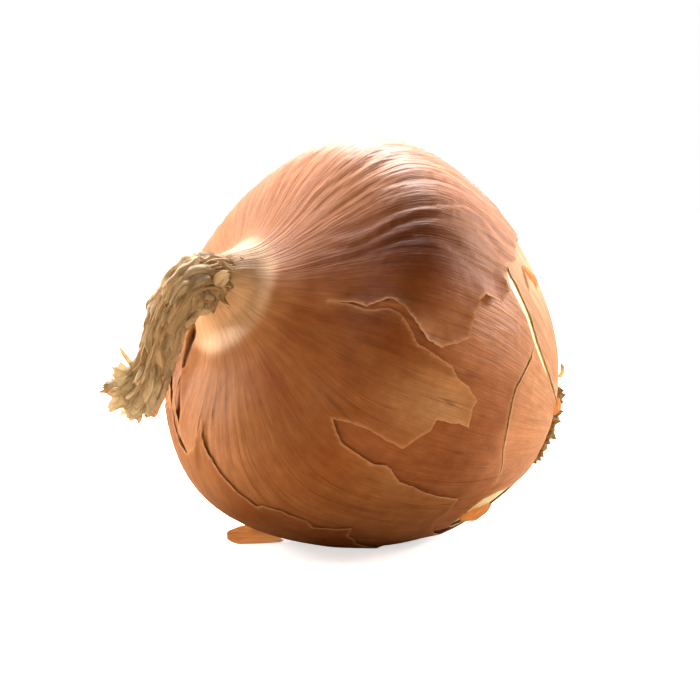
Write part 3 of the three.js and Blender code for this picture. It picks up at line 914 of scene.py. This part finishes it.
# Its middle line from the top of the bulb down to the tip, and half its width at even steps.
NECK_PATH = [
    (-29.7, -20.4, 53.7), (-32.9, -22.9, 52.3), (-35.8, -24.8, 48.4), (-37.8, -25.4, 43.3), (-39.6, -25, 38),
    (-42, -24.2, 33.5), (-45, -23.4, 31.3),
]
NECK_HALF_WIDTHS = [7.4, 6.4, 5.5, 5.1, 4.6, 4.0, 3.6, 3.6, 4.0, 4.4, 3.6]
NECK_STEPS = 90
NECK_REACH = 6            # places this near a point of the middle line are on the neck's own sides there
COLLAR_SHARE = 0.11       # how far up the neck the skin runs, as a share of its length
NECK_FOLD_RUN = 25        # length of skin that the neck's folds are read along
CORE_END = 0.93           # share of the neck's length where its core stops, inside the fray

neck_start = [axis_point(np.array(NECK_END + up)) for up in (-1.0, 0.5)]
neck_path = spline(np.vstack((neck_start, NECK_PATH)), NECK_STEPS)
neck_share = np.linspace(0, 1, NECK_STEPS)
neck_path[:, 1] += LEAN_BACK * (1 - smooth_step(0.1, 0.6, neck_share))
neck_flatness = 1 - LEAN_FLATTEN + 0.2 * smooth_step(0.0, 0.4, neck_share)
neck_half = np.interp(neck_share, np.linspace(0, 1, len(NECK_HALF_WIDTHS)), NECK_HALF_WIDTHS)
neck_along = unit(np.gradient(neck_path, axis=0))
neck_side = unit(np.cross(neck_along, (0, 1, 0)))
neck_front = -unit(np.cross(neck_side, neck_along))
neck_folds = waves(41, (4, 13), (0.5, 3), 10)


def round_neck(share, degrees, out):
    """Places round the neck's middle line, out times its half width, and the way they face."""
    steps = share * (NECK_STEPS - 1)
    index = np.arange(NECK_STEPS)

    def at(values):
        return np.stack([np.interp(steps, index, values[:, k]) for k in range(values.shape[1])], -1)

    angle = np.radians(degrees)
    half = np.interp(steps, index, neck_half)
    side = np.cos(angle)[..., None] * at(neck_side)
    front = np.sin(angle)[..., None] * at(neck_front)
    flatness = np.interp(steps, index, neck_flatness)[..., None]
    place = at(neck_path) + (side + front * flatness) * (half * out)[..., None]
    return place, unit(side + front)


def make_neck_core():
    """The solid middle of the neck, under its leaves and fibres."""
    columns, rows = 72, 80
    degrees, share = np.meshgrid(np.arange(columns) * 360 / columns, np.linspace(0.0, CORE_END, rows))
    degrees, share = degrees.ravel(), share.ravel()
    out = 0.8 + 0.13 * neck_folds(degrees, share * NECK_FOLD_RUN)
    places, _ = round_neck(share, degrees, out)
    places = np.vstack((places, places[:columns].mean(0), places[-columns:].mean(0)))
    faces = turned_out(places, capped_tube(columns, rows), neck_path[NECK_STEPS // 2], NECK_REACH)
    grain = np.stack((np.radians(degrees) * 6, share * 40), -1)
    grain = np.vstack((grain, grain[:2]))
    share = np.append(share, (0, CORE_END))
    marks = {"dusk": 0.75 - 0.4 * share, "bloom": smooth_step(0.8, 0.95, share)}
    return mesh_object("neck_core", places, faces, neck_straw, grain, marks)


def make_collar():
    """Skin that runs a little way up the neck under the straw, and ends raggedly."""
    columns, rows = 120, 20
    degrees, share = np.meshgrid(np.arange(columns) * 360 / columns, np.linspace(0.0, 1.0, rows))
    degrees, share = degrees.ravel(), share.ravel()
    rag = collar_waves(degrees, np.zeros(len(degrees)))
    at = share * (COLLAR_SHARE + 0.02 * rag)
    out = 1.0 + 0.05 * share + 0.05 * neck_folds(degrees, at * 60) * share
    top, facing = round_neck(at, degrees, out)
    faces = []
    for row in range(rows - 1):
        for column in range(columns):
            a, b = row * columns + column, row * columns + (column + 1) % columns
            faces += [(a, b + columns, a + columns), (a, b, b + columns)]
    faces = np.array(faces)
    a, b, c = (top[faces[:, k]] for k in range(3))
    if (np.cross(b - a, c - a) * facing[faces[:, 0]]).sum() < 0:
        faces = faces[:, ::-1]
    places, faces = thicken(top, top - facing * PAPER, faces)
    grain = np.stack((np.radians(degrees) * 12, -at * 45), -1)
    # The collar is paler towards the bulb: painted light, as inside the ridge round the neck.
    marks = {"blush": 0.8 - 0.5 * share, "flare": 0.9 - 0.5 * share}
    marks = {key: np.concatenate((value, value)) for key, value in marks.items()}
    marks["inside"] = np.repeat((0.0, 1.0), len(top))
    return mesh_object("neck_collar", places, faces, outer_paper, np.vstack((grain, grain)), marks)


def make_neck_leaves():
    """Overlapping dried leaf bases, drawn down round the bend."""
    rng = np.random.default_rng(52)
    strips, marks = [], []
    for number in range(34):
        start = rng.choice((0.03, 0.07, 0.12, 0.2, 0.35)) + rng.uniform(0, 0.06)
        end = min(0.97, start + rng.uniform(0.35, 0.85))
        steps = int(18 + 60 * (end - start))
        share = np.linspace(start, end, steps)
        degrees = number * 137.5 + rng.uniform(-70, 70) * (share - start) + 9 * np.sin(share * 21 + number)
        out = rng.uniform(0.88, 1.0) + 0.05 * np.sin(share * rng.uniform(10, 30) + number)
        out = out + 0.11 * neck_folds(degrees, share * NECK_FOLD_RUN) * smooth_step(0.1, 0.25, share)
        out = out + 0.1 * smooth_step(end - 0.15, end, share)
        out = out - 0.12 * smooth_step(start + 0.05, start, share)
        path, facing = round_neck(share, degrees, out)
        half = rng.uniform(1.3, 2.6) * (0.45 + 0.55 * np.sin(np.linspace(0.35, 2.75, steps)))
        strips.append(strip(path, facing, half, rng.uniform(0.3, 1.2), 200 + number, 9, 0.22, 0.4, 0.5))
        dusk, bloom = rng.uniform(0, 0.9), rng.uniform(0, 0.35)
        marks.append({
            "dusk": lambda s, dusk=dusk: dusk * (1 - 0.5 * s),
            "bloom": lambda s, bloom=bloom, end=end: bloom + 0.6 * smooth_step(0.75, 1.0, s) * (end > 0.8),
            "blush": lambda s, start=start: (start < 0.17) * (1 - smooth_step(0.0, 0.3, s)),
        })
    return gather("neck_leaves", strips, neck_straw, marks)


FRAY_CENTRE = np.array((-42.4, -24.2, 34.0))
FRAY_STEPS = 18
DARK_SHRED = 5            # the one shred whose point is dark
# Shreds of the frayed tip: the way each points seen from the front (degrees up from the right),
# how far it leans to the front, its length and its half width.
FRAY = [
    (113, 0.1, 7.6, 0.7), (128, 0.4, 4.6, 1.3), (150, -0.3, 4.6, 1.6), (162, 0.3, 5.4, 1.8),
    (176, 0.0, 6.2, 1.9), (186, 0.5, 7.4, 1.4), (196, -0.4, 6.0, 2.2), (208, 0.3, 6.0, 2.3),
    (221, 0.0, 6.8, 1.7), (232, 0.6, 5.8, 2.3), (243, -0.3, 6.8, 1.7), (255, 0.3, 6.2, 2.0),
    (266, 0.0, 6.8, 1.7), (280, 0.5, 6.0, 1.8), (295, 0.1, 5.8, 1.4), (205, 0.9, 4.6, 2.4),
    (240, 0.9, 4.8, 2.4), (180, 0.9, 4.2, 2.0), (262, -0.8, 4.2, 1.8), (215, -0.9, 4.6, 2.0),
]


def make_fray():
    """The shreds of the frayed tip."""
    rng = np.random.default_rng(61)
    strips, marks = [], []
    share = np.linspace(0, 1, FRAY_STEPS)[:, None]
    end_way = neck_along[-8]
    for number, (turn, lean, length, half_width) in enumerate(FRAY):
        angle = math.radians(turn)
        way = unit(np.array((math.cos(angle), -lean, math.sin(angle))))
        root = FRAY_CENTRE - end_way * 3.5 + way * 1.6
        elbow = FRAY_CENTRE + way * (0.35 * length)
        tip = FRAY_CENTRE + way * length + rng.normal(0, 0.5, 3)
        path = root * (1 - share) ** 2 + 2 * elbow * share * (1 - share) + tip * share**2
        turned = -1 if number % 3 == 0 else 1
        facing = unit(np.cross(np.cross(way, (0, -1, 0)), way) * turned + 0.4 * end_way)
        facing = np.tile(facing, (FRAY_STEPS, 1))
        half = half_width * (0.5 + 0.5 * np.sin(np.linspace(0.2, 2.6, FRAY_STEPS)))
        cup = np.linspace(0.5, rng.uniform(-1.8, 1.8), FRAY_STEPS)
        strips.append(strip(path, facing, half, cup, 400 + number, 7, 0.3, 0.15, 0.5, 0.14))
        burnt = (number == DARK_SHRED) * 1.0
        marks.append({
            "bloom": lambda s, burnt=burnt: 0.95 - 0.9 * burnt * smooth_step(0.55, 0.9, s),
            "dusk": lambda s, burnt=burnt: burnt * smooth_step(0.5, 0.8, s),
        })
    return gather("neck_frayed_tip", strips, neck_straw, marks)


for make_part in (make_neck_core, make_collar, make_neck_leaves, make_fray):
    place_piece(make_part(), "neck")

# ------------------------------------------------------------------ fibres and rootlets


def strand_tree():
    """Fine strands that follow a path: scattered round it by its girth, each a stretch of its length."""
    tree = bpy.data.node_groups.new("strands", "GeometryNodeTree")
    sockets = (
        ("Path", "NodeSocketGeometry", None), ("Count", "NodeSocketInt", 60), ("Steps", "NodeSocketInt", 14),
        ("Radius", "NodeSocketFloat", 0.0001), ("Inner Girth", "NodeSocketFloat", 0.8),
        ("Outer Girth", "NodeSocketFloat", 1.0), ("Latest Start", "NodeSocketFloat", 0.5),
        ("Shortest", "NodeSocketFloat", 0.2), ("Longest", "NodeSocketFloat", 0.5),
        ("Curl", "NodeSocketFloat", 0.002), ("Seed", "NodeSocketInt", 1),
        ("Material", "NodeSocketMaterial", None),
    )
    for label, kind, value in sockets:
        made = tree.interface.new_socket(label, in_out="INPUT", socket_type=kind)
        if value is not None:
            made.default_value = value
    tree.interface.new_socket("Strands", in_out="OUTPUT", socket_type="NodeSocketGeometry")
    given = add(tree, "NodeGroupInput").outputs

    def chance(low, high, offset, strand):
        seed = add(tree, MATH, {0: given["Seed"], 1: float(offset)}, 0, operation="ADD")
        between = {"ID": strand, "Seed": seed, 2: low, 3: high}
        return add(tree, "FunctionNodeRandomValue", between, 1, data_type="FLOAT")

    path = add(tree, "GeometryNodeMeshToCurve", {"Mesh": given["Path"]}, 0)
    dots = add(tree, "GeometryNodeMeshLine", {"Count": given["Count"]}, 0)
    line = add(tree, "GeometryNodeCurvePrimitiveLine", output=0)
    line = add(tree, "GeometryNodeResampleCurve", {"Curve": line, "Count": given["Steps"]}, 0)
    lines = add(tree, "GeometryNodeInstanceOnPoints", {"Points": dots, "Instance": line}, 0)
    lines = add(tree, "GeometryNodeRealizeInstances", {"Geometry": lines}, 0)
    number = add(tree, "GeometryNodeInputIndex", output=0)
    strand = add(tree, "GeometryNodeFieldOnDomain", {0: number}, 0, domain="CURVE", data_type="INT")
    along = add(tree, "GeometryNodeSplineParameter", output="Factor")
    start = chance(0.0, given["Latest Start"], 1, strand)
    reach = chance(given["Shortest"], given["Longest"], 2, strand)
    place = add(tree, MATH, {0: along, 1: reach, 2: start}, 0, operation="MULTIPLY_ADD")
    girth = add(tree, "GeometryNodeInputNamedAttribute", {"Name": "girth"}, 0, data_type="FLOAT")
    sample = add(
        tree, "GeometryNodeSampleCurve", {"Curves": path, "Value": girth, "Factor": place},
        mode="FACTOR", use_all_curves=True, data_type="FLOAT",
    )
    frame_axes = {0: sample.outputs["Tangent"], 1: sample.outputs["Normal"]}
    side = add(tree, VECTOR, frame_axes, 0, operation="CROSS_PRODUCT")
    turn = chance(0.0, 2 * math.pi, 3, strand)
    out = chance(given["Inner Girth"], given["Outer Girth"], 4, strand)
    out = add(tree, MATH, {0: out, 1: sample.outputs["Value"]}, 0, operation="MULTIPLY")
    offset = None
    for operation, way in (("COSINE", sample.outputs["Normal"]), ("SINE", side)):
        share = add(tree, MATH, {0: turn}, 0, operation=operation)
        share = add(tree, MATH, {0: share, 1: out}, 0, operation="MULTIPLY")
        part = add(tree, VECTOR, {0: way, "Scale": share}, 0, operation="SCALE")
        offset = part if offset is None else add(tree, VECTOR, {0: offset, 1: part}, 0, operation="ADD")
    spread = add(tree, MATH, {0: strand, 1: 7.31}, 0, operation="MULTIPLY")
    stretch = add(tree, MATH, {0: along, 1: 1.8}, 0, operation="MULTIPLY")
    where = add(tree, "ShaderNodeCombineXYZ", {0: stretch, 1: spread, 2: given["Seed"]}, 0)
    noise = {"Vector": where, "Scale": 1.0, "Detail": 1.0}
    noise = add(tree, "ShaderNodeTexNoise", noise, "Color")
    noise = add(tree, VECTOR, {0: noise, 1: (0.5, 0.5, 0.5)}, 0, operation="SUBTRACT")
    strength = add(tree, MATH, {0: along, 1: given["Curl"]}, 0, operation="MULTIPLY")
    curl = add(tree, VECTOR, {0: noise, "Scale": strength}, 0, operation="SCALE")
    at = add(tree, VECTOR, {0: sample.outputs["Position"], 1: offset}, 0, operation="ADD")
    at = add(tree, VECTOR, {0: at, 1: curl}, 0, operation="ADD")
    lines = add(tree, "GeometryNodeSetPosition", {"Geometry": lines, "Position": at}, 0)
    thin = add(tree, MATH, {0: along, 1: -0.6, 2: 1.0}, 0, operation="MULTIPLY_ADD")
    lines = add(tree, "GeometryNodeSetCurveRadius", {"Curve": lines, "Radius": thin}, 0)
    ring = add(tree, "GeometryNodeCurvePrimitiveCircle", {"Resolution": 4, "Radius": given["Radius"]}, 0)
    swept = {"Curve": lines, "Profile Curve": ring, "Scale": thin, "Fill Caps": True}
    tubes = add(tree, "GeometryNodeCurveToMesh", swept, 0)
    tubes = add(tree, "GeometryNodeRealizeInstances", {"Geometry": tubes}, 0)
    tubes = add(tree, "GeometryNodeSetMaterial", {"Geometry": tubes, "Material": given["Material"]}, 0)
    add(tree, "NodeGroupOutput", {0: tubes})
    return tree


strands = strand_tree()


def grow_strands(name, path, girth, material, **sizes):
    """Strands along a path in millimetres, as a plain mesh."""
    mesh = bpy.data.meshes.new(name)
    mesh.from_pydata((path * MM).tolist(), [(i, i + 1) for i in range(len(path) - 1)], [])
    mesh.attributes.new("girth", "FLOAT", "POINT").data.foreach_set("value", girth * MM)
    piece = bpy.data.objects.new(name, mesh)
    bpy.context.scene.collection.objects.link(piece)
    modifier = piece.modifiers.new("strands", "NODES")
    modifier.node_group = strands
    inputs = {item.name: item.identifier for item in strands.interface.items_tree if item.in_out == "INPUT"}
    for label, value in {"Material": material, **sizes}.items():
        modifier[inputs[label]] = value
    graph = bpy.context.evaluated_depsgraph_get()
    grown = bpy.data.meshes.new_from_object(piece.evaluated_get(graph))
    piece.modifiers.remove(modifier)
    piece.data = grown
    grown.name = name
    return piece


fibres = grow_strands(
    "neck_fibres", neck_path, neck_half, neck_straw,
    **{"Count": 150, "Steps": 20, "Radius": 0.13 * MM, "Inner Girth": 0.8, "Outer Girth": 1.02,
       "Latest Start": 0.65, "Shortest": 0.1, "Longest": 0.32, "Curl": 3.0 * MM, "Seed": 4},
)
place_piece(fibres, "neck")

ROOT_RADIUS = 7.8
ROOT_FROM = ROOT_END - 0.3
ROOT_TO = ROOT_FROM - 1.5
root_waves = waves(71, (3, 40), (5, 25), 14)


def make_root_plate():
    """The rough disc that the roots grew from, with a sunken middle and a ragged rim."""
    columns, rings, back_rings = 96, 14, 5
    rows = [(ROOT_FROM, share) for share in np.linspace(0.05, 1, back_rings)]
    rows += [((ROOT_FROM + ROOT_TO) / 2, 1.04)]
    rows += [(ROOT_TO, share) for share in np.linspace(1, 0.05, rings)]
    degrees = np.arange(columns) * 360 / columns
    places = []
    for number, (along, share) in enumerate(rows):
        outer_face = number > back_rings
        rough = root_waves(degrees, np.full(columns, share * 9))
        lift = (0.35 * rough * share - 0.5 * (1 - share)) * outer_face
        at = np.full(columns, along) - lift
        up, front = cross_axes(at)
        radius = ROOT_RADIUS * share * (1 + 0.05 * rough * (share > 0.9))
        angle = np.radians(degrees)
        across = np.cos(angle)[:, None] * up + np.sin(angle)[:, None] * front
        places.append(axis_point(at) + radius[:, None] * across)
    places = np.vstack(places + [places[0].mean(0), places[-1].mean(0)])
    faces = turned_out(places, capped_tube(columns, len(rows)), places.mean(0))
    return mesh_object("root_plate_cork", places, faces, root_cork)


place_piece(make_root_plate(), "root_plate")
root_line = axis_point(np.linspace(ROOT_TO + 0.6, ROOT_TO - 3.0, 12))
rootlets = grow_strands(
    "rootlets", root_line, np.linspace(ROOT_RADIUS, ROOT_RADIUS * 1.15, 12), root_fibre,
    **{"Count": 110, "Steps": 10, "Radius": 0.12 * MM, "Inner Girth": 0.15, "Outer Girth": 0.9,
       "Latest Start": 0.02, "Shortest": 0.1, "Longest": 0.3, "Curl": 2.6 * MM, "Seed": 9},
)
place_piece(rootlets, "root_plate")

# ------------------------------------------------------------------ loose flakes and the chip


FLAKE_STEPS = 16


def make_flake(name, node, way, facing, length, half_width, cup, seed, material=flake_paper, bend=0.6):
    """A loose curled flake in the middle of its node's box. way is the way it runs, facing its upper
    side."""
    low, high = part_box(node)
    centre = (np.array(low) + np.array(high)) / 2 / MM
    way, facing = unit(np.array(way, float)), unit(np.array(facing, float))
    share = np.linspace(-0.5, 0.5, FLAKE_STEPS)[:, None]
    path = centre + way * length * share - facing * bend * (share * 2) ** 2
    half = half_width * np.sqrt(np.clip(1.02 - (share[:, 0] * 1.9) ** 2, 0.1, 1))
    facing = np.tile(facing, (FLAKE_STEPS, 1))
    mesh = strip(path, facing, half, cup, seed, 9, 0.12, 0.05, 0.5, 0.14)
    return gather(name, [mesh], material, [{"bloom": lambda s: 0.15 + 0.2 * s}])


FLAKES = [
    ("flake_lower_left", (1, 0.2, -0.05), (-0.1, -0.75, 0.66), 11.0, 2.4, 0.25, 501),
    ("flake_left_side", (0.45, 0.1, 0.9), (-0.9, -0.3, 0.3), 5.2, 1.5, 0.9, 502),
    ("flake_lower_right", (0.85, 0.15, 0.35), (0.3, -0.7, -0.6), 6.6, 1.7, -0.5, 503),
    ("flake_root_upper", (0.2, 0, 1), (0.8, -0.6, 0.1), 2.8, 0.8, 0.5, 504),
    ("flake_root_lower", (0.3, 0.1, 1), (0.7, -0.7, 0.1), 3.0, 0.9, 0.5, 505),
    ("flake_upper_right", (0.5, -0.2, -0.7), (0.6, -0.5, 0.6), 4.6, 1.1, 0.6, 506),
]
for node, way, facing, length, half_width, cup, seed in FLAKES:
    flake = make_flake(node + "_paper", node, way, facing, length, half_width, cup, seed)
    place_piece(flake, node)

chip = make_flake(
    "neck_chip_paper", "neck_chip", (0.75, -0.2, 0.6), (-0.35, -0.9, 0.2), 3.0, 1.5, 0.05, 520,
    neck_straw, 0.05,
)
place_piece(chip, "neck_chip")

# ------------------------------------------------------------------ stage, lights and camera

CAMERA_TARGET = Vector((-2.1, -1.8, 38.8)) * MM
CAMERA_DISTANCE = 420 * MM
CAMERA_ELEVATION = math.radians(5)
CAMERA_SENSOR = 36
FRAME_WIDTH = 140 * MM    # width of the view at the target
FLOOR_WIDTH = 6.0         # metres
LIGHTS_AIM = Vector((0, 0, 0.04))


def make_camera():
    data = bpy.data.cameras.new("camera")
    data.sensor_width = CAMERA_SENSOR
    data.lens = CAMERA_SENSOR * CAMERA_DISTANCE / FRAME_WIDTH
    data.clip_start = 0.01
    camera = bpy.data.objects.new("camera", data)
    away = Vector((0, -math.cos(CAMERA_ELEVATION), math.sin(CAMERA_ELEVATION)))
    camera.location = CAMERA_TARGET + away * CAMERA_DISTANCE
    camera.rotation_euler = (-away).to_track_quat("-Z", "Y").to_euler()
    bpy.context.scene.collection.objects.link(camera)
    bpy.context.scene.camera = camera


def make_floor():
    """A board that glows a little to the camera, so that it is white. To the other rays it is a darker
    tan, which keeps the light that it throws up under the onion low and warm."""
    half = FLOOR_WIDTH / 2
    corners = [(-half, -half, 0), (half, -half, 0), (half, half, 0), (-half, half, 0)]
    mesh = bpy.data.meshes.new("floor")
    mesh.from_pydata(corners, [], [(0, 1, 2, 3)])
    material, tree = new_material("matt_white_board")
    board = add(
        tree, "ShaderNodeBsdfPrincipled",
        {"Base Color": colour("#f8f7f5"), "Roughness": 0.8, "Emission Color": (1, 1, 1, 1),
         "Emission Strength": 0.62}, 0,
    )
    bounce = add(tree, "ShaderNodeBsdfDiffuse", {"Color": colour("#b8a182")}, 0)
    camera_ray = add(tree, "ShaderNodeLightPath", output="Is Camera Ray")
    surface = add(tree, "ShaderNodeMixShader", {0: camera_ray, 1: bounce, 2: board}, 0)
    add(tree, "ShaderNodeOutputMaterial", {"Surface": surface})
    mesh.materials.append(material)
    floor = bpy.data.objects.new("floor", mesh)
    bpy.context.scene.collection.objects.link(floor)


def soft_light(name, place, size, power, tint="#ffffff"):
    data = bpy.data.lights.new(name, "AREA")
    data.shape = "DISK"
    data.size = size
    data.energy = power
    data.color = colour(tint)[:3]
    light = bpy.data.objects.new(name, data)
    light.location = place
    aim = LIGHTS_AIM - Vector(place)
    light.rotation_euler = aim.to_track_quat("-Z", "Y").to_euler()
    bpy.context.scene.collection.objects.link(light)


def make_world():
    """A white surround that is bright above and behind the onion and dim in front of it."""
    world = bpy.data.worlds.new("studio")
    world.use_nodes = True
    tree = world.node_tree
    tree.nodes.clear()
    direction = add(tree, "ShaderNodeTexCoord", output="Generated")
    behind = {0: direction, 1: (-0.15, 0.92, 0.3)}
    behind = add(tree, VECTOR, behind, "Value", operation="DOT_PRODUCT")
    level = add(
        tree, "ShaderNodeMapRange", {"Value": behind, 1: 0.05, 2: 0.9, 3: 0.06, 4: 1.15}, 0,
        interpolation_type="SMOOTHSTEP",
    )
    lit = add(tree, "ShaderNodeBackground", {"Color": (1, 1, 1, 1), "Strength": level}, 0)
    seen = add(tree, "ShaderNodeBackground", {"Color": (1, 1, 1, 1), "Strength": 1.0}, 0)
    camera_ray = add(tree, "ShaderNodeLightPath", output="Is Camera Ray")
    both = add(tree, "ShaderNodeMixShader", {0: camera_ray, 1: lit, 2: seen}, 0)
    add(tree, "ShaderNodeOutputWorld", {"Surface": both})
    bpy.context.scene.world = world


make_camera()
make_floor()
make_world()
soft_light("back_left", (-0.76, 0.32, 0.34), 0.35, 9)
soft_light("back_right", (0.74, 0.26, 0.38), 0.5, 12)
soft_light("top", (-0.02, 0.5, 0.72), 0.45, 27)
soft_light("front_fill", (0.2, -0.8, 0.14), 0.6, 1.6, "#ffdcb4")
soft_light("side_fill", (-0.88, -0.3, 0.12), 0.35, 3.2, "#ffe6c8")
bpy.context.scene.view_settings.view_transform = "Standard"
